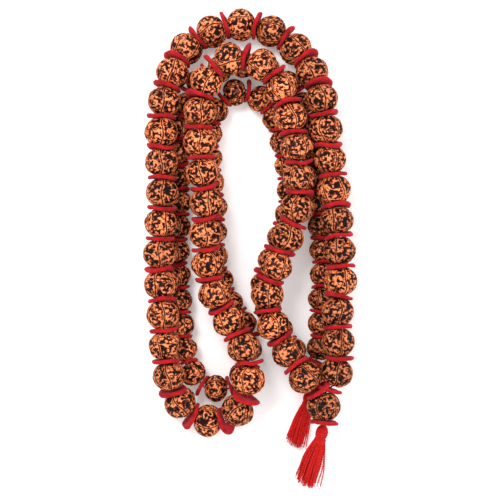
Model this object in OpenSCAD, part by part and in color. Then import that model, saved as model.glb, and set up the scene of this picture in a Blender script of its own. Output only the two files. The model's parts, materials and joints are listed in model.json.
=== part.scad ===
// Two-strand mala: two closed loops of 54 rudraksha beads, felt discs between them,
// a guru bead and a tassel on each. The small strand lies flat and the large strand lies over it.
// The small strand has the large strand's shape at a smaller scale.

/* [Beads] */
// Largest diameter of a counting bead on the large strand
bead_d = 25.6; // [23:0.1:25.6]
// Length of a counting bead along its bore
bead_len = 21.4; // [19:0.1:21.4]
// Bore of a counting bead
bore_d = 3.2; // [2.4:0.1:4]
// Diameter of the guru bead, where the two thread ends come together
guru_d = 26; // [24:0.5:26]
// Bore of the guru bead, which holds the thread twice
guru_bore_d = 4.4; // [4:0.1:5]

/* [Strands] */
// Diameter of the stringing thread
thread_d = 1.6; // [1:0.1:1.6]
// Centre to centre of neighbouring beads on the large strand
large_pitch = 23.85; // [23.84:0.01:23.88]
// The same on the small strand, before it is scaled
small_pitch = 23.6; // [23.58:0.01:23.62]
// Size of the small strand against the large strand
small_scale = 0.82; // [0.8:0.01:0.82]

/* [Felt discs] */
// Diameter of a disc
felt_d = 23; // [20:0.5:23]
// Thickness of a disc at its rim
rim_t = 2.4; // [1.6:0.1:2.4]
// Thickness of a disc where the beads pinch it
web_t = 0.6; // [0.5:0.1:0.7]
// Hole in a disc for the thread
hole_d = 2.6; // [2:0.1:3]

/* [Tassels] */
// Length of a tassel from the middle of its knot to its hem
tassel_len = 53; // [45:1:53]
// Diameter of the round head
head_d = 8.5; // [7:0.5:8.5]
// Width of the skirt where it leaves the binding
skirt_top = 9.5; // [9:0.5:10]
// Width of the skirt at its hem
skirt_hem = 23; // [16:1:23]
// Thickness of the skirt as it lies
skirt_t = 8.4; // [7:0.2:9]
// How far the tassels lean from straight down
lean = 14; // [10:1:15]

/* [Hidden] */
$fn = 64;
beads = 54;
group = 9;
turning = 36;
large_strand = "large_";
small_strand = "small_";

// The way the large strand lies: points on its thread from the top of the guru bead,
// out and round the loop and back, as [x, y, height over the table].
ROUTE = [
    [58, -112, 29], [68, -96, 28], [69, -72, 31], [69, -47, 30], [71, -22, 31], [70, 3, 31],
    [67, 36, 31], [63, 68, 30], [60, 91, 30], [57, 113, 29], [51, 134, 22], [39, 154, 14],
    [19, 170, 13], [-5, 176, 13], [-29, 171, 13], [-49, 158, 14], [-61, 135, 23],
    [-67, 112, 28], [-69, 88, 30], [-68, 43, 31], [-70, -2, 31], [-68, -47, 30], [-65, -83, 30],
    [-60, -108, 25], [-47, -129, 14], [-23, -135, 15], [-5, -120, 30], [-1, -94, 35],
    [-8, -68, 33], [-22, -48, 33], [-31, -22, 34], [-34, 3, 34], [-34, 38, 34], [-38, 73, 33],
    [-39, 98, 34], [-37, 119, 33], [-28, 140, 34], [-8, 150, 34], [14, 140, 34], [26, 122, 34],
    [32, 101, 33], [37, 78, 33], [39, 56, 34], [37, 31, 34], [29, 8, 34], [20, -14, 34],
    [14, -36, 34], [18, -59, 34], [30, -80, 34], [43, -100, 35], [58, -112, 29]
];
route_steps = 24;
first_gap = 18.5;
// Slack after some of the beads, counted from 0, where the strand bends most
SLACK = [[25, 0], [26, 1], [27, 3], [28, 4], [29, 3], [31, 0], [39, 0], [40, 1.5], [41, 1.5], [42, 0]];

guru_len = bead_len * guru_d / bead_d;
bead_step = 15;
rim_sides = 12;
thread_sides = 8;
thread_apart = 0.9;
small_shift = [0, 1, 0];
bead_colour = "saddlebrown";
guru_colour = "sienna";
felt_colour = "crimson";
thread_colour = "firebrick";
tassel_colour = "red";

// The two strands as they lie: [route, pitch, height of the tassel's knot]
function flat(route) = let (end = len(route) - 1) [
    for (i = [0 : end]) [route[i].x, route[i].y, (i == 0 || i == end ? guru_d : bead_d) / 2]
];
LARGE = [ROUTE, large_pitch, ROUTE[0].z - 2];
SMALL = [flat(ROUTE), small_pitch, guru_d / 2 - 2];

function unit(v) = v / norm(v);
function last(list) = list[len(list) - 1];
function mean(a, b) = (a + b) / 2;

// A smooth line through the points of a route
function curve_at(a, b, c, d, t) =
    (2 * b + (c - a) * t + (2 * a - 5 * b + 4 * c - d) * t * t
     + (3 * b - a - 3 * c + d) * t * t * t) / 2;
function before(p, i) = i == 0 ? 2 * p[0] - p[1] : p[i - 1];
function after(p, i) = i == len(p) - 1 ? 2 * p[i] - p[i - 1] : p[i + 1];
function smooth_line(p) = [
    for (i = [0 : len(p) - 2]) for (j = [0 : route_steps - 1])
        curve_at(before(p, i), p[i], p[i + 1], after(p, i + 1), j / route_steps),
    last(p)
];

// Bead centres one after another along a line, each a straight step from the one before
function next_point(line, i, from, step) =
    norm(line[i] - from) >= step ? i : next_point(line, i + 1, from, step);
function step_end(a, b, from, step) =
    let (d = b - a, f = a - from, k = f * d / (d * d))
    a + d * (sqrt(k * k + (step * step - f * f) / (d * d)) - k);
function strung(line, i, from, step, pitch, bead_no) = bead_no == beads ? [] :
    let (j = next_point(line, i, from, step), q = step_end(line[j - 1], line[j], from, step))
    concat([q], strung(line, j, q, pitch + lookup(bead_no, SLACK), pitch, bead_no + 1));
function centres(lie) =
    let (line = smooth_line(lie[0])) strung(line, 1, line[0], first_gap, lie[1], 0);

// A strand is [bead centres, bore directions, the two ends at the top of the guru bead]
function directions(c, ends) = [
    for (i = [0 : beads - 1])
        unit((i == beads - 1 ? ends : c[i + 1]) - (i == 0 ? ends : c[i - 1]))
];
function strand(lie) = let (c = centres(lie), ends = lie[0][0]) [c, directions(c, ends), ends];
large = strand(LARGE);
small = strand(SMALL);

function bore_start(s, i) = s[0][i] - s[1][i] * bead_len / 2;
function bore_end(s, i) = s[0][i] + s[1][i] * bead_len / 2;
function guru_at(s) = s[2] - [0, guru_len / 2, 0];
function knot_at(lie) = [lie[0][0].x - 0.5, lie[0][0].y - guru_len - 5.8, lie[2]];
function tassel_dip(lie) = asin((lie[2] - skirt_t / 2 - 0.6) / tassel_len);

// A thread swept along its points
function side_of(dir) = unit(cross(dir, [0, 0, 1]));
function ring(at, dir, r) = [
    for (k = [0 : thread_sides - 1]) let (a = 360 * k / thread_sides)
        at + r * (cos(a) * side_of(dir) + sin(a) * cross(side_of(dir), dir))
];
module swept(points, d) {
    n = len(points);
    m = thread_sides;
    skin = [for (i = [0 : n - 1])
        each ring(points[i], unit(points[min(i + 1, n - 1)] - points[max(i - 1, 0)]), d / 2)];
    quads = [for (i = [0 : n - 2]) for (k = [0 : m - 1])
        let (a = i * m + k, b = i * m + (k + 1) % m) each [[a, b, a + m], [b, b + m, a + m]]];
    near_end = [[for (k = [0 : m - 1]) m - 1 - k]];
    far_end = [[for (k = [0 : m - 1]) (n - 1) * m + k]];
    polyhedron(skin, concat(quads, near_end, far_end), convexity = 10);
}

// Turns a piece made along Z to a direction
module along(dir) {
    rotate([0, acos(dir.z), atan2(dir.y, dir.x)]) children();
}

// The side of a bead is a half circle in short straight steps, set out from its axis
module bead(d, length, bore) {
    half = length / 2;
    side = [for (a = [-90 : bead_step : 90]) [(d - length) / 2 + half * cos(a), half * sin(a)]];
    difference() {
        rotate_extrude() polygon(concat([[0, -half]], side, [[0, half]]));
        cylinder(h = 2 * length, d = bore, center = true);
    }
}

module disc(hole) {
    rim_at = (felt_d - rim_t) / 2;
    rotate_extrude() {
        translate([hole / 2, -web_t / 2]) square([rim_at - hole / 2, web_t]);
        translate([rim_at, 0]) circle(d = rim_t, $fn = rim_sides);
    }
}

// Beads first to last of a strand, counted from 0
module bead_run(s, first, end) {
    for (i = [first : end]) translate(s[0][i]) along(s[1][i]) bead(bead_d, bead_len, bore_d);
}

module link_discs(s) {
    for (i = [0 : beads - 2])
        translate(mean(bore_end(s, i), bore_start(s, i + 1)))
            along(unit(s[0][i + 1] - s[0][i])) disc(hole_d);
}

// The two discs that lean together on top of the guru bead, cut where they press
module leaning_disc(s, bead_no, mouth, side) {
    intersection() {
        translate(mean(s[2], mouth)) along(unit(s[0][bead_no] - guru_at(s))) disc(hole_d);
        translate(s[2] + [side * (bead_d + 0.1), 0, 0]) cube(2 * bead_d, center = true);
    }
}

module discs(s) {
    link_discs(s);
    leaning_disc(s, 0, bore_start(s, 0), 1);
    leaning_disc(s, beads - 1, bore_end(s, beads - 1), -1);
}

// The disc between the guru bead and the tassel
module guru_disc(s) {
    translate(s[2] - [0, guru_len + rim_t / 2 + 0.4, 0]) rotate([90, 0, 0]) disc(guru_bore_d);
}

module guru(s) {
    translate(guru_at(s)) rotate([90, 0, 0]) bead(guru_d, guru_len, guru_bore_d);
}

// The whole thread: up through the guru bead, round the loop and down through it again
module thread(s) {
    below = s[2] - [0, guru_len + rim_t, 0];
    apart = [thread_apart, 0, 0];
    loop = [for (i = [0 : beads - 1]) each [bore_start(s, i), bore_end(s, i)]];
    swept(concat([below + apart, s[2] + apart], loop, [s[2] - apart, below - apart]), thread_d);
}

// Tassel parts are made along X from the middle of the knot
module hang(lie) {
    translate(knot_at(lie)) rotate([0, tassel_dip(lie), -90 - lean]) children();
}

knot_d = 4.4;
head_gap = 0.5;
head_at = knot_d / 2 + head_gap + head_d / 2;
binding_at = head_at + head_d / 2 + 0.6;
binding_w = 2.6;
neck_d = 7;
module knot(lie) {
    translate(knot_at(lie)) sphere(d = knot_d);
}
module head(lie) {
    hang(lie) translate([head_at, 0, 0]) sphere(d = head_d);
}
module binding(lie) {
    hang(lie) translate([binding_at, 0, 0]) rotate([0, 90, 0]) difference() {
        cylinder(h = binding_w, d = skirt_top, center = true);
        cylinder(h = 2 * binding_w, d = neck_d, center = true);
    }
}
module skirt(lie) {
    start = binding_at + binding_w / 2 + 0.1;
    neck_from = head_at + head_d / 2 + 0.1;
    hang(lie) {
        translate([neck_from, 0, 0]) rotate([0, 90, 0])
            cylinder(h = start - neck_from, d = neck_d - 0.2);
        hull() {
            translate([start, 0, 0]) rotate([0, 90, 0]) cylinder(h = 1, d = skirt_top - 1.5, $fn = 24);
            translate([tassel_len - 1, 0, 0]) scale([1, skirt_hem / skirt_t, 1])
                rotate([0, 90, 0]) cylinder(h = 1, d = skirt_t, $fn = 32);
        }
    }
}

module shrunk() {
    translate(small_shift) scale(small_scale) children();
}

function two_figures(n) = n < 10 ? str("0", n) : str(n);
function bead_name(i) = str("large_bead_", two_figures(i + 1));
function run_name(first) =
    str(first < beads ? "beads_" : "", two_figures(first + 1), "_to_", two_figures(first + group));
TURNING = [for (i = [0 : turning - 1]) i];
LARGE_RUNS = [for (i = [turning : group : beads - 1]) i];
SMALL_RUNS = [for (i = [0 : group : beads - 1]) i];
SHARED = ["thread", "discs", "guru_disc", "guru_bead", "tassel_knot", "tassel_head",
    "tassel_binding", "tassel_skirt"];

color(thread_colour) thread(large);  // large_thread
color(felt_colour) discs(large);  // large_discs
color(felt_colour) guru_disc(large);  // large_guru_disc
color(guru_colour) guru(large);  // large_guru_bead
color(tassel_colour) knot(LARGE);  // large_tassel_knot
color(tassel_colour) head(LARGE);  // large_tassel_head
color(tassel_colour) binding(LARGE);  // large_tassel_binding
color(tassel_colour) skirt(LARGE);  // large_tassel_skirt
color(thread_colour) shrunk() thread(small);  // small_thread
color(felt_colour) shrunk() discs(small);  // small_discs
color(felt_colour) shrunk() guru_disc(small);  // small_guru_disc
color(guru_colour) shrunk() guru(small);  // small_guru_bead
color(tassel_colour) shrunk() knot(SMALL);  // small_tassel_knot
color(tassel_colour) shrunk() head(SMALL);  // small_tassel_head
color(tassel_colour) shrunk() binding(SMALL);  // small_tassel_binding
color(tassel_colour) shrunk() skirt(SMALL);  // small_tassel_skirt
for (i = TURNING)
    color(bead_colour) bead_run(large, i, i);
for (i = LARGE_RUNS)
    color(bead_colour) bead_run(large, i, i + group - 1);
for (i = SMALL_RUNS)
    color(bead_colour) shrunk() bead_run(small, i, i + group - 1);
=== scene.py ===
import math
import random

import bpy
import numpy as np
from mathutils import Matrix, Vector, noise
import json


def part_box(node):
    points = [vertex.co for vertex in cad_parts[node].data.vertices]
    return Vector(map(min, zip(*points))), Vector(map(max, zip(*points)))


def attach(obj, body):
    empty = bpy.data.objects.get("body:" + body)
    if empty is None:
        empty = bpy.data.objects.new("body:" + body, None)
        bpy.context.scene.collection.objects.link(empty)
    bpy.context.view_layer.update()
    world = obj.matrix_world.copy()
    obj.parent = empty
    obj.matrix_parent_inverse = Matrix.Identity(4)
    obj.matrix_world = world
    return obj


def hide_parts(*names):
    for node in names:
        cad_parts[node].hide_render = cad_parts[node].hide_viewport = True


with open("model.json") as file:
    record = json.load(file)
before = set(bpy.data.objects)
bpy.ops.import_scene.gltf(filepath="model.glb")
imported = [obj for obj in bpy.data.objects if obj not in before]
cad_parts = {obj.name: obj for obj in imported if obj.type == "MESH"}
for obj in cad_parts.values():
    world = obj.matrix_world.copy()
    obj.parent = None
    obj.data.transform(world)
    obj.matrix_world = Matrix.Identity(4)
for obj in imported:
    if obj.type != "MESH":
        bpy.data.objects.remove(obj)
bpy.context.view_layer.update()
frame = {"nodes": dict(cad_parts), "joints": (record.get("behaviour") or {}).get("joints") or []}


# Camera: straight above the mala and far off, with a long lens, so that the loop is
# seen flat as it lies. The view is a square a little longer than the mala.
def select_nothing():
    bpy.ops.object.select_all(action="DESELECT")


view_side = 0.39
view_centre = Vector((0.0004, -0.0008, 0.03))
camera_height = 2.4
select_nothing()
bpy.ops.object.camera_add(location=view_centre + Vector((0, 0, camera_height)))
camera = bpy.context.object
camera.data.lens = camera.data.sensor_width * camera_height / view_side
bpy.context.scene.camera = camera


# Light: one large soft lamp high on the left, a weaker one low on the right, and a pale
# room all round, which keeps the shadows on the table faint.
def soft_lamp(name, place, side, watts):
    towards = Vector((0, 0, 0)) - Vector(place)
    bpy.ops.object.light_add(type="AREA", location=place)
    lamp = bpy.context.object
    lamp.name = name
    lamp.data.size = side
    lamp.data.energy = watts
    lamp.rotation_euler = towards.to_track_quat("-Z", "Y").to_euler()


soft_lamp("main_lamp", (-0.5, 0.7, 1.5), 0.6, 18)
soft_lamp("side_lamp", (0.9, -0.4, 1.0), 0.6, 6)
room = bpy.data.worlds.new("pale_room")
room.use_nodes = True
room.node_tree.nodes["Background"].inputs["Color"].default_value = (1, 1, 1, 1)
room.node_tree.nodes["Background"].inputs["Strength"].default_value = 0.95
bpy.context.scene.world = room
bpy.context.scene.view_settings.view_transform = "Standard"


# Table: a plain white top, wide enough to fill any view.
def new_material(name, roughness):
    material = bpy.data.materials.new(name)
    material.use_nodes = True
    shader = material.node_tree.nodes["Principled BSDF"]
    shader.inputs["Roughness"].default_value = roughness
    return material, material.node_tree, shader


select_nothing()
bpy.ops.mesh.primitive_plane_add(size=6)
table = bpy.context.object
table.name = "table"
table_white, tree, shader = new_material("white_table", 0.8)
shader.inputs["Base Color"].default_value = (0.92, 0.92, 0.92, 1)
shader.inputs["Emission Color"].default_value = (1, 1, 1, 1)
shader.inputs["Emission Strength"].default_value = 0.22
table.data.materials.append(table_white)


# Rudraksha seeds: hard dried fruit stones, drilled from pole to pole. Five straight
# furrows with smooth lips run between the poles, and winding ridges cover the rest.
low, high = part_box("large_bead_23")
seed_radius = (high.z - low.z) / 2
seed_half = (high.y - low.y) / 2
furrow_count = 5
bore_radius = 0.0016
swollen = 0.0003
small_size = 0.82


def in_edit_mode(chosen):
    """Opens the active mesh in edit mode with only the chosen vertices selected."""
    mesh = bpy.context.object.data
    bpy.ops.object.mode_set(mode="EDIT")
    bpy.ops.mesh.select_mode(type="VERT")
    bpy.ops.mesh.select_all(action="DESELECT")
    bpy.ops.object.mode_set(mode="OBJECT")
    for vertex in mesh.vertices:
        vertex.select = chosen(vertex.co)
    bpy.ops.object.mode_set(mode="EDIT")


def seed_blank(around, rows):
    """A ball of radius 1 with a drilled hole from pole to pole."""
    select_nothing()
    bpy.ops.mesh.primitive_uv_sphere_add(segments=around, ring_count=rows, radius=1)
    blank = bpy.context.object
    in_edit_mode(lambda co: abs(co.z) > 0.99999)
    bpy.ops.mesh.delete(type="VERT")
    bpy.ops.mesh.select_non_manifold()
    bpy.ops.mesh.extrude_edges_move()
    bpy.ops.transform.resize(value=(0.5, 0.5, 0.97))
    bpy.ops.mesh.bridge_edge_loops()
    bpy.ops.mesh.select_all(action="SELECT")
    bpy.ops.mesh.normals_make_consistent(inside=False)
    bpy.ops.object.mode_set(mode="OBJECT")
    bpy.ops.object.shade_smooth()
    return blank


def eased(low_end, high_end, value):
    t = min(max((value - low_end) / (high_end - low_end), 0), 1)
    return t * t * (3 - 2 * t)


def furrow_offset(around, up, sway):
    """Distance from the nearest furrow, in fifths of a turn, and how it wanders."""
    turn = furrow_count * (around / math.tau + 0.012 * math.sin(3 * up + sway))
    return abs(turn - round(turn)) / furrow_count


def carve(blank, number, ridge_size):
    """Cuts ridges and furrows into a copy of the blank. Heights are kept as 'carving'."""
    luck = random.Random(number)
    seed = blank.copy()
    seed.data = blank.data.copy()
    shift = Vector([luck.uniform(-40, 40) for axis in range(3)])
    sway = luck.uniform(0, math.tau)
    depth = luck.uniform(0.0008, 0.0010)
    lean = 1 + luck.uniform(-0.02, 0.02)
    edge = seed_radius - seed_half
    carving = seed.data.attributes.new("carving", "FLOAT", "POINT")
    for vertex in seed.data.vertices:
        out = vertex.co.copy()
        around = math.atan2(out.y, out.x)
        if out.length < 0.995:
            end = math.copysign(seed_half - 0.0004, out.z)
            ring = Vector((math.cos(around), math.sin(around), 0)) * bore_radius
            vertex.co = ring + Vector((0, 0, end))
            continue
        flat = Vector((math.cos(around), math.sin(around), 0))
        place = flat * edge + out * (seed_half + swollen)
        spot = place / ridge_size + shift
        bend = noise.noise_vector(spot * 0.7) * 0.8
        pits = noise.noise(spot + bend) + 0.45 * noise.noise((spot + bend) * 1.9 + shift)
        worms = abs(noise.noise(spot * 0.8 - bend + shift))
        height = min(eased(-0.30, 0.14, pits), 0.25 + 0.75 * eased(0.01, 0.12, worms))
        height *= 0.86 + 0.2 * noise.noise(spot * 1.7 - shift)
        away = furrow_offset(around, math.asin(out.z), sway) * math.tau
        away *= math.hypot(place.x, place.y)
        lip = 1 - eased(0.0008, 0.0014, away)
        cut = 1 - eased(0.00015, 0.0006, away)
        height = height * (1 - lip) + 0.92 * lip
        height = height * (1 - cut)
        mouth = 1 - eased(0.0026, 0.0050, math.hypot(place.x, place.y))
        height = height * (1 - mouth) + 0.3 * mouth
        drop = depth * max(1 - height, 0) ** 1.25
        grain = 0.00006 * noise.noise(spot * 9)
        lump = 0.0005 * noise.noise(place * 140 + shift)
        vertex.co = place * lean + out * (lump - drop + grain)
        carving.data[vertex.index].value = height
    return seed


def placed(pattern, place, axis, spin, size):
    """A copy of a pattern with its own mesh, its Z axis turned to the axis."""
    turn = Vector((0, 0, 1)).rotation_difference(axis).to_matrix().to_4x4()
    copy = pattern.copy()
    copy.data = pattern.data.copy()
    scale = Matrix.Scale(size, 4)
    copy.data.transform(
        Matrix.Translation(place) @ turn @ Matrix.Rotation(spin, 4, "Z") @ scale
    )
    bpy.context.scene.collection.objects.link(copy)
    return copy


def joined(pieces, name):
    """One object out of several."""
    select_nothing()
    for piece in pieces:
        piece.select_set(True)
    bpy.context.view_layer.objects.active = pieces[0]
    if len(pieces) > 1:
        bpy.ops.object.join()
    whole = bpy.context.view_layer.objects.active
    whole.name = name
    return whole


def solids_of(node):
    """The centre and the shortest axis of each solid in a CAD node."""
    select_nothing()
    copy = frame["nodes"][node].copy()
    copy.data = copy.data.copy()
    copy.parent = None
    bpy.context.scene.collection.objects.link(copy)
    copy.select_set(True)
    bpy.context.view_layer.objects.active = copy
    bpy.ops.object.mode_set(mode="EDIT")
    bpy.ops.mesh.select_all(action="SELECT")
    bpy.ops.mesh.remove_doubles(threshold=1e-6)
    bpy.ops.mesh.separate(type="LOOSE")
    bpy.ops.object.mode_set(mode="OBJECT")
    found = []
    for part in list(bpy.context.selected_objects):
        count = len(part.data.polygons)
        spots, areas = np.empty(count * 3), np.empty(count)
        part.data.polygons.foreach_get("center", spots)
        part.data.polygons.foreach_get("area", areas)
        spots = spots.reshape(-1, 3)
        centre = (spots * areas[:, None]).sum(0) / areas.sum()
        spread = (spots - centre).T @ ((spots - centre) * areas[:, None])
        axis = Vector(np.linalg.eigh(spread)[1][:, 0])
        near = [v.co for v in part.data.vertices if (v.co - Vector(centre)).length < 0.005]
        hole = sum(near, Vector()) / len(near) if near else Vector(centre)
        found.append((hole, axis))
        bpy.data.objects.remove(part)
    found.sort(key=lambda solid: (round(solid[0].y, 4), solid[0].x))
    return found


def seed_material(name, darkness):
    """Black pits, brown slopes and orange-tan crests, each seed a little different."""
    material, tree, shader = new_material(name, 0.5)
    nodes, links = tree.nodes, tree.links
    carving = nodes.new("ShaderNodeAttribute")
    carving.attribute_name = "carving"
    tone = nodes.new("ShaderNodeAttribute")
    tone.attribute_name = "tone"
    place = nodes.new("ShaderNodeTexCoord")
    speckle = nodes.new("ShaderNodeTexNoise")
    speckle.inputs["Scale"].default_value = 900
    speckle.inputs["Detail"].default_value = 4
    links.new(place.outputs["Object"], speckle.inputs["Vector"])
    stain = nodes.new("ShaderNodeTexNoise")
    stain.inputs["Scale"].default_value = 130
    links.new(place.outputs["Object"], stain.inputs["Vector"])
    rough_edge = nodes.new("ShaderNodeMath")
    rough_edge.operation = "MULTIPLY_ADD"
    rough_edge.inputs[1].default_value = 0.42
    links.new(speckle.outputs["Fac"], rough_edge.inputs[0])
    links.new(carving.outputs["Fac"], rough_edge.inputs[2])
    ramp = nodes.new("ShaderNodeValToRGB")
    stops = [
        (0.30, (0.006, 0.001, 0.000)),
        (0.60, (0.050, 0.005, 0.002)),
        (0.78, (0.17, 0.023, 0.006)),
        (0.95, (0.46, 0.092, 0.021)),
        (1.12, (0.80, 0.260, 0.100)),
    ]
    while len(ramp.color_ramp.elements) < len(stops):
        ramp.color_ramp.elements.new(0.5)
    for element, (at, colour) in zip(ramp.color_ramp.elements, stops):
        element.position = at
        element.color = (*[c * darkness for c in colour], 1)
    links.new(rough_edge.outputs[0], ramp.inputs["Fac"])
    shade = nodes.new("ShaderNodeMath")
    shade.operation = "MULTIPLY_ADD"
    shade.inputs[1].default_value = 0.5
    links.new(stain.outputs["Fac"], shade.inputs[0])
    links.new(tone.outputs["Fac"], shade.inputs[2])
    tinted = nodes.new("ShaderNodeVectorMath")
    tinted.operation = "SCALE"
    links.new(ramp.outputs["Color"], tinted.inputs["Vector"])
    links.new(shade.outputs[0], tinted.inputs["Scale"])
    links.new(tinted.outputs["Vector"], shader.inputs["Base Color"])
    shader.inputs["Specular IOR Level"].default_value = 0.15
    shader.inputs["Coat Weight"].default_value = 0.06
    shader.inputs["Coat Roughness"].default_value = 0.35
    dull = nodes.new("ShaderNodeMapRange")
    dull.inputs["To Min"].default_value = 0.85
    dull.inputs["To Max"].default_value = 0.42
    links.new(carving.outputs["Fac"], dull.inputs["Value"])
    links.new(dull.outputs["Result"], shader.inputs["Roughness"])
    bump = nodes.new("ShaderNodeBump")
    bump.inputs["Strength"].default_value = 0.35
    bump.inputs["Distance"].default_value = 0.0004
    links.new(speckle.outputs["Fac"], bump.inputs["Height"])
    links.new(bump.outputs["Normal"], shader.inputs["Normal"])
    return material


seed_brown = seed_material("rudraksha_brown", 1.0)
pattern_count = 12
large_blank = seed_blank(124, 70)
small_blank = seed_blank(96, 54)
large_patterns = [carve(large_blank, n, 0.0026) for n in range(pattern_count)]
small_patterns = [carve(small_blank, 50 + n, 0.0029) for n in range(pattern_count)]
bead_luck = random.Random(108)


def strung_seed(patterns, place, axis, size):
    """One seed on the thread, turned at random, with a random tone, made darker where it lies
    right of x = 0.04.
    """
    pattern = bead_luck.choice(patterns)
    spin = bead_luck.uniform(0, math.tau)
    seed = placed(pattern, place, axis, spin, size)
    tone = seed.data.attributes.new("tone", "FLOAT", "POINT")
    # The tone is random for each seed and is lowered by 0.16 where the seed lies right of x =
    # 0.04.
    shade = bead_luck.uniform(0.58, 0.95) - (0.16 if place.x > 0.04 else 0)
    tone.data.foreach_set("value", [shade] * len(seed.data.vertices))
    seed.data.materials.clear()
    seed.data.materials.append(seed_brown)
    return seed


for joint in frame["joints"]:
    if joint["name"].startswith("turn_bead_"):
        place, axis = Vector(joint["pos_m"]), Vector(joint["axis"])
        node = joint["child"]
        seed = strung_seed(large_patterns, place, axis, 1)
        seed = joined([seed], node + "_carved")
        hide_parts(node)
        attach(seed, node)

bead_runs = [node for node in sorted(frame["nodes"]) if "_beads_" in node]
for node in bead_runs:
    large = node.startswith("large_")
    patterns = large_patterns if large else small_patterns
    size = 1 if large else small_size
    seeds = [strung_seed(patterns, place, axis, size) for place, axis in solids_of(node)]
    run = joined(seeds, node + "_carved")
    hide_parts(node)
    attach(run, "large_strand" if large else "root")


# Guru beads: one larger, darker seed on each strand, where the two thread ends come
# together. Its bore is wide enough for the thread to pass twice.
guru_brown = seed_material("guru_brown", 0.8)
for strand in ("large", "small"):
    node = strand + "_guru_bead"
    joint = next(j for j in frame["joints"] if j["name"] == "turn_" + node)
    low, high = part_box(node)
    size = (high.x - low.x) / 2 / seed_radius
    patterns = large_patterns if strand == "large" else small_patterns
    guru = strung_seed(patterns, Vector(joint["pos_m"]), Vector(joint["axis"]), size)
    guru.data.materials.clear()
    guru.data.materials.append(guru_brown)
    guru = joined([guru], node + "_carved")
    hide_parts(node)
    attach(guru, node)


# Felt discs: cut from red wool felt, one between every two beads, pinched thin where
# the beads press and full at the rim. They lean and buckle a little.
felt_radius = 0.0115
felt_hole = 0.0014
felt_rim = 0.0015
felt_web = 0.0006
felt_luck = random.Random(7)

felt_red, tree, shader = new_material("crimson_felt", 0.95)
place = tree.nodes.new("ShaderNodeTexCoord")
fibres = tree.nodes.new("ShaderNodeTexNoise")
fibres.inputs["Scale"].default_value = 1500
fibres.inputs["Detail"].default_value = 5
fibres.inputs["Distortion"].default_value = 1.5
tree.links.new(place.outputs["Object"], fibres.inputs["Vector"])
patches = tree.nodes.new("ShaderNodeTexNoise")
patches.inputs["Scale"].default_value = 160
tree.links.new(place.outputs["Object"], patches.inputs["Vector"])
mixed = tree.nodes.new("ShaderNodeMath")
mixed.operation = "MULTIPLY_ADD"
mixed.inputs[1].default_value = 0.6
tree.links.new(fibres.outputs["Fac"], mixed.inputs[0])
tree.links.new(patches.outputs["Fac"], mixed.inputs[2])
reds = tree.nodes.new("ShaderNodeValToRGB")
reds.color_ramp.elements[0].position = 0.5
reds.color_ramp.elements[0].color = (0.17, 0.002, 0.004, 1)
reds.color_ramp.elements[1].position = 1.05
reds.color_ramp.elements[1].color = (0.50, 0.010, 0.014, 1)
tree.links.new(mixed.outputs[0], reds.inputs["Fac"])
tree.links.new(reds.outputs["Color"], shader.inputs["Base Color"])
shader.inputs["Sheen Weight"].default_value = 0.22
shader.inputs["Sheen Roughness"].default_value = 0.5
shader.inputs["Sheen Tint"].default_value = (1.0, 0.25, 0.3, 1)
shader.inputs["Specular IOR Level"].default_value = 0.15
bump = tree.nodes.new("ShaderNodeBump")
bump.inputs["Strength"].default_value = 0.7
bump.inputs["Distance"].default_value = 0.0004
tree.links.new(fibres.outputs["Fac"], bump.inputs["Height"])
tree.links.new(bump.outputs["Normal"], shader.inputs["Normal"])

select_nothing()
bpy.ops.mesh.primitive_torus_add(
    major_segments=60,
    minor_segments=12,
    major_radius=(felt_radius + felt_hole) / 2,
    minor_radius=(felt_radius - felt_hole) / 2,
)
felt_ring = bpy.context.object
bpy.ops.object.shade_smooth()
felt_ring.data.materials.append(felt_red)
for vertex in felt_ring.data.vertices:
    reach = math.hypot(vertex.co.x, vertex.co.y)
    half = felt_web + (felt_rim - felt_web) * eased(0.006, 0.009, reach)
    past = max(reach - (felt_radius - felt_rim), 0) / felt_rim
    inner = max(felt_hole + felt_web - reach, 0) / felt_web
    roundness = math.sqrt(max(1 - min(max(past, inner), 1) ** 2, 0))
    vertex.co.z = math.copysign(half * roundness, vertex.co.z) if roundness else 0


def felt_disc(place, axis, size, tilt):
    """One disc: its edge wanders, its face waves, and it tips a few degrees."""
    disc = felt_ring.copy()
    disc.data = felt_ring.data.copy()
    shift = Vector([felt_luck.uniform(-50, 50) for side in range(3)])
    wave, phase = felt_luck.uniform(0.0002, 0.0016), felt_luck.uniform(0, math.tau)
    for vertex in disc.data.vertices:
        reach = math.hypot(vertex.co.x, vertex.co.y) / felt_radius
        around = math.atan2(vertex.co.y, vertex.co.x)
        fluff = noise.noise(vertex.co * 900 + shift) * 0.00016
        swell = 1 + 0.035 * noise.noise(vertex.co * 160 + shift)
        vertex.co.x *= swell
        vertex.co.y *= swell
        vertex.co.z *= 1 + 0.25 * noise.noise(vertex.co * 300 - shift)
        vertex.co += vertex.normal * fluff
        bend = wave * math.sin(2 * around + phase)
        vertex.co.z += reach**3 * (bend + 0.0012 * noise.noise(vertex.co * 110 + shift))
    across = axis.orthogonal().normalized()
    across = Matrix.Rotation(felt_luck.uniform(0, math.tau), 3, axis) @ across
    leaning = Matrix.Rotation(math.radians(tilt), 3, across) @ axis
    aside = across * felt_luck.uniform(-0.0008, 0.0008)
    laid = placed(disc, place + aside, leaning, felt_luck.uniform(0, math.tau), size)
    bpy.data.objects.remove(disc)
    return laid


for strand in ("large", "small"):
    size = 1 if strand == "large" else small_size
    for node in (strand + "_discs", strand + "_guru_disc"):
        felts = []
        for place, axis in solids_of(node):
            felts.append(felt_disc(place, axis, size, felt_luck.uniform(0, 9)))
        felt = joined(felts, node + "_felt")
        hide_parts(node)
        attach(felt, "large_strand" if strand == "large" else "root")


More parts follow.
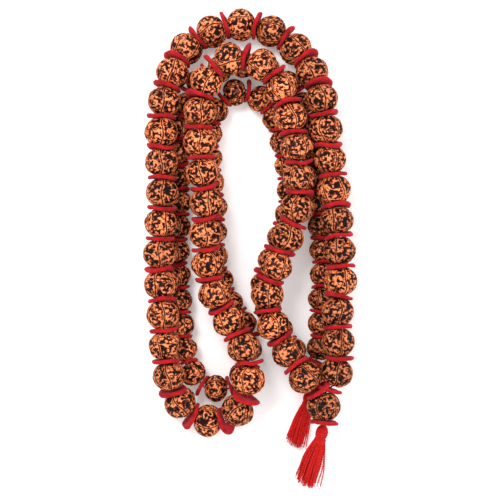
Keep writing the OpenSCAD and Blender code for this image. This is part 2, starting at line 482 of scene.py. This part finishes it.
# Thread: red twisted cotton through every bead, in by one end of the guru bead and out
# by the same end. It is seen only where beads stand apart.
thread_red, tree, shader = new_material("red_thread", 0.8)
place = tree.nodes.new("ShaderNodeTexCoord")
twist = tree.nodes.new("ShaderNodeTexWave")
twist.bands_direction = "DIAGONAL"
twist.inputs["Scale"].default_value = 420
tree.links.new(place.outputs["Object"], twist.inputs["Vector"])
reds = tree.nodes.new("ShaderNodeValToRGB")
reds.color_ramp.elements[0].color = (0.20, 0.006, 0.012, 1)
reds.color_ramp.elements[1].color = (0.50, 0.02, 0.03, 1)
tree.links.new(twist.outputs["Fac"], reds.inputs["Fac"])
tree.links.new(reds.outputs["Color"], shader.inputs["Base Color"])
bump = tree.nodes.new("ShaderNodeBump")
bump.inputs["Strength"].default_value = 0.6
bump.inputs["Distance"].default_value = 0.0003
tree.links.new(twist.outputs["Fac"], bump.inputs["Height"])
tree.links.new(bump.outputs["Normal"], shader.inputs["Normal"])
for node in ("large_thread", "small_thread"):
    frame["nodes"][node].data.materials.clear()
    frame["nodes"][node].data.materials.append(thread_red)


# Tassels: hanks of scarlet two-ply yarn folded over the knot, bound with a few turns of
# the same yarn, and cut off at the hem, where the ends have begun to fray.
yarn_radius = 0.00052
ply_radius = 0.00034
ply_turn = 0.0042
head_over_knot = 0.0022
head_fullness = 1.15
tassel_luck = random.Random(21)

yarn_red, tree, shader = new_material("scarlet_yarn", 0.75)
place = tree.nodes.new("ShaderNodeTexCoord")
hairs = tree.nodes.new("ShaderNodeTexNoise")
hairs.inputs["Scale"].default_value = 700
hairs.inputs["Detail"].default_value = 4
tree.links.new(place.outputs["Object"], hairs.inputs["Vector"])
reds = tree.nodes.new("ShaderNodeValToRGB")
reds.color_ramp.elements[0].position = 0.3
reds.color_ramp.elements[0].color = (0.34, 0.003, 0.003, 1)
reds.color_ramp.elements[1].position = 0.75
reds.color_ramp.elements[1].color = (0.82, 0.016, 0.014, 1)
tree.links.new(hairs.outputs["Fac"], reds.inputs["Fac"])
tree.links.new(reds.outputs["Color"], shader.inputs["Base Color"])
shader.inputs["Sheen Weight"].default_value = 0.25
shader.inputs["Sheen Tint"].default_value = (1.0, 0.2, 0.15, 1)
shader.inputs["Specular IOR Level"].default_value = 0.15
bump = tree.nodes.new("ShaderNodeBump")
bump.inputs["Strength"].default_value = 0.5
bump.inputs["Distance"].default_value = 0.0002
tree.links.new(hairs.outputs["Fac"], bump.inputs["Height"])
tree.links.new(bump.outputs["Normal"], shader.inputs["Normal"])


def yarn_object(name):
    """An empty curve whose lines all come out as one thickness of yarn ply."""
    curve = bpy.data.curves.new(name, "CURVE")
    curve.dimensions = "3D"
    curve.bevel_depth = ply_radius
    curve.bevel_resolution = 1
    curve.use_fill_caps = True
    line = bpy.data.objects.new(name, curve)
    bpy.context.scene.collection.objects.link(line)
    return line


def add_line(yarn, points, thickness=1.0):
    line = yarn.data.splines.new("POLY")
    line.points.add(len(points) - 1)
    for spot, point in zip(line.points, points):
        spot.co = (*point, 1)
        spot.radius = thickness


def add_yarn(yarn, path, size, turns=None):
    """Two plies twisted round each other along a path."""
    length = sum((b - a).length for a, b in zip(path, path[1:]))
    turns = length / ply_turn if turns is None else turns
    start = tassel_luck.uniform(0, math.tau)
    for half_turn in (0, math.pi):
        plies = []
        for i, point in enumerate(path):
            ahead = path[min(i + 1, len(path) - 1)] - path[max(i - 1, 0)]
            side = ahead.cross(Vector((0.1, 0.2, 1))).normalized()
            up = side.cross(ahead).normalized()
            angle = start + half_turn + math.tau * turns * i / (len(path) - 1)
            offset = side * math.cos(angle) + up * math.sin(angle)
            plies.append(point + offset * (yarn_radius - ply_radius * 0.55) * size)
        add_line(yarn, plies, size)


def finished(yarn, material):
    """The curve as a mesh with its material."""
    select_nothing()
    yarn.select_set(True)
    bpy.context.view_layer.objects.active = yarn
    bpy.ops.object.convert(target="MESH")
    bpy.ops.object.shade_smooth()
    mesh = bpy.context.object
    mesh.data.materials.clear()
    mesh.data.materials.append(material)
    return mesh


def middle(node):
    low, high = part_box(node)
    return (low + high) / 2


def reach_of(node, origin, direction):
    return max(abs((v.co - origin).dot(direction)) for v in frame["nodes"][node].data.vertices)


def on_tassel(axes, forward, sideways, upward):
    """A point given along the tassel, across it and up from the table."""
    origin, along, side, over = axes
    return origin + along * forward + side * sideways + over * upward


for strand in ("large", "small"):
    size = 1 if strand == "large" else small_size
    knot_at = middle(strand + "_tassel_knot")
    head_at = middle(strand + "_tassel_head")
    along = (head_at - knot_at).normalized()
    side = along.cross(Vector((0, 0, 1))).normalized()
    over = side.cross(along).normalized()
    head_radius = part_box(strand + "_tassel_head")[1].x - head_at.x
    hem = reach_of(strand + "_tassel_skirt", knot_at, along)
    hem_side = reach_of(strand + "_tassel_skirt", knot_at, side) - 0.001 * size
    hem_over = 0.0042 * size - 0.0006
    bind_at = (middle(strand + "_tassel_binding") - knot_at).dot(along)
    neck = 0.0036 * size
    axes = (knot_at, along, side, over)

    # The knot is a plain overhand knot drawn tight.
    knot = yarn_object(strand + "_knot_yarn")
    loop = []
    knot_reach = 0.0010 * size
    for i in range(97):
        t = math.tau * i / 96
        loop.append(
            on_tassel(
                axes,
                (math.cos(t) + 2 * math.cos(2 * t)) * knot_reach * 0.45,
                (math.sin(t) - 2 * math.sin(2 * t)) * knot_reach * 0.75,
                -math.sin(3 * t) * knot_reach * 0.9,
            )
        )
    add_line(knot, loop, 2.9 * size)
    knot = finished(knot, yarn_red)
    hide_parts(strand + "_tassel_knot")
    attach(knot, strand + "_tassel_knot")

    # The head is the fold of the hank, drawn over the knot, from its top to the neck.
    head = yarn_object(strand + "_head_yarn")
    head_centre = (head_at - knot_at).dot(along) - head_over_knot * size
    fold_count = 22
    for i in range(fold_count):
        turn = math.tau * i / fold_count
        path = []
        for step in range(25):
            polar = math.radians(12 + step * 5.6)
            reach = (head_radius * head_fullness - yarn_radius * size) * math.sin(polar)
            reach = max(reach, neck * eased(60, 130, math.degrees(polar)))
            forward = head_centre - (head_radius + head_over_knot * size) * math.cos(polar)
            twist = turn + 0.25 * math.sin(polar)
            path.append(on_tassel(axes, forward, reach * math.cos(twist), reach * math.sin(twist)))
        add_yarn(head, path, size * 1.05)
    head = finished(head, yarn_red)
    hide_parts(strand + "_tassel_head")
    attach(head, strand + "_tassel")

    # The binding is four turns of yarn round the neck.
    binding = yarn_object(strand + "_binding_yarn")
    path = []
    for i in range(129):
        turn = math.tau * 4 * i / 128
        forward = bind_at + (i / 128 - 0.5) * 0.0032 * size
        reach = neck + yarn_radius * size * 1.2
        path.append(on_tassel(axes, forward, reach * math.cos(turn), reach * math.sin(turn)))
    add_yarn(binding, path, size)
    binding = finished(binding, yarn_red)
    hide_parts(strand + "_tassel_binding")
    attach(binding, strand + "_tassel")

    # The skirt hangs from under the binding and spreads as it lies.
    skirt = yarn_object(strand + "_skirt_yarn")
    yarn_count = 90
    for i in range(yarn_count):
        rank = math.sqrt((i + 0.5) / yarn_count)
        turn = i * math.pi * (3 - math.sqrt(5))
        start_side, start_over = rank * math.cos(turn), rank * math.sin(turn)
        end_side = start_side * 0.92 + tassel_luck.uniform(-0.12, 0.12)
        if i == yarn_count - 1:
            start_side, end_side = -0.95, -1.22
        end_over = start_over + tassel_luck.uniform(-0.15, 0.15)
        end = hem - tassel_luck.uniform(0.0005, 0.0050) * size
        end -= 0.007 * size * max(start_side, 0) ** 2
        sway, phase = tassel_luck.uniform(0.0002, 0.0007), tassel_luck.uniform(0, 6)
        path = []
        for step in range(41):
            t = step / 40
            forward = bind_at - 0.001 * size + (end - bind_at) * t
            spread = t**0.5
            open_side = (neck - yarn_radius) * (1 - spread) + hem_side * spread
            open_over = (neck - yarn_radius) * (1 - t) + hem_over * t
            sideways = (start_side * (1 - t) + end_side * t) * open_side
            sideways += sway * math.sin(5 * t + phase) * t + 0.0022 * size * t
            sideways += 0.0016 * size * t * noise.noise(Vector((start_side * 2.2, t * 1.6, 7)))
            upward = (start_over * (1 - t) + end_over * t) * open_over
            upward += 0.5 * sway * math.sin(4 * t + 2 * phase) * t
            path.append(on_tassel(axes, forward, sideways, upward))
        add_yarn(skirt, path, size)
        for fibre in range(4):
            tip = path[-1]
            bits = [tip]
            drift = side * tassel_luck.uniform(-1, 1) + over * tassel_luck.uniform(-0.3, 1)
            for step in range(1, 5):
                tip = tip + along * 0.0008 * size + drift * 0.0003 * size * step / 3
                bits.append(tip)
            add_line(skirt, bits, 0.3 * size)
    skirt = finished(skirt, yarn_red)
    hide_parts(strand + "_tassel_skirt")
    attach(skirt, strand + "_tassel")


# The patterns are put away.
for pattern in [large_blank, small_blank, felt_ring]:
    bpy.data.objects.remove(pattern)
for pattern in large_patterns + small_patterns:
    bpy.data.objects.remove(pattern)
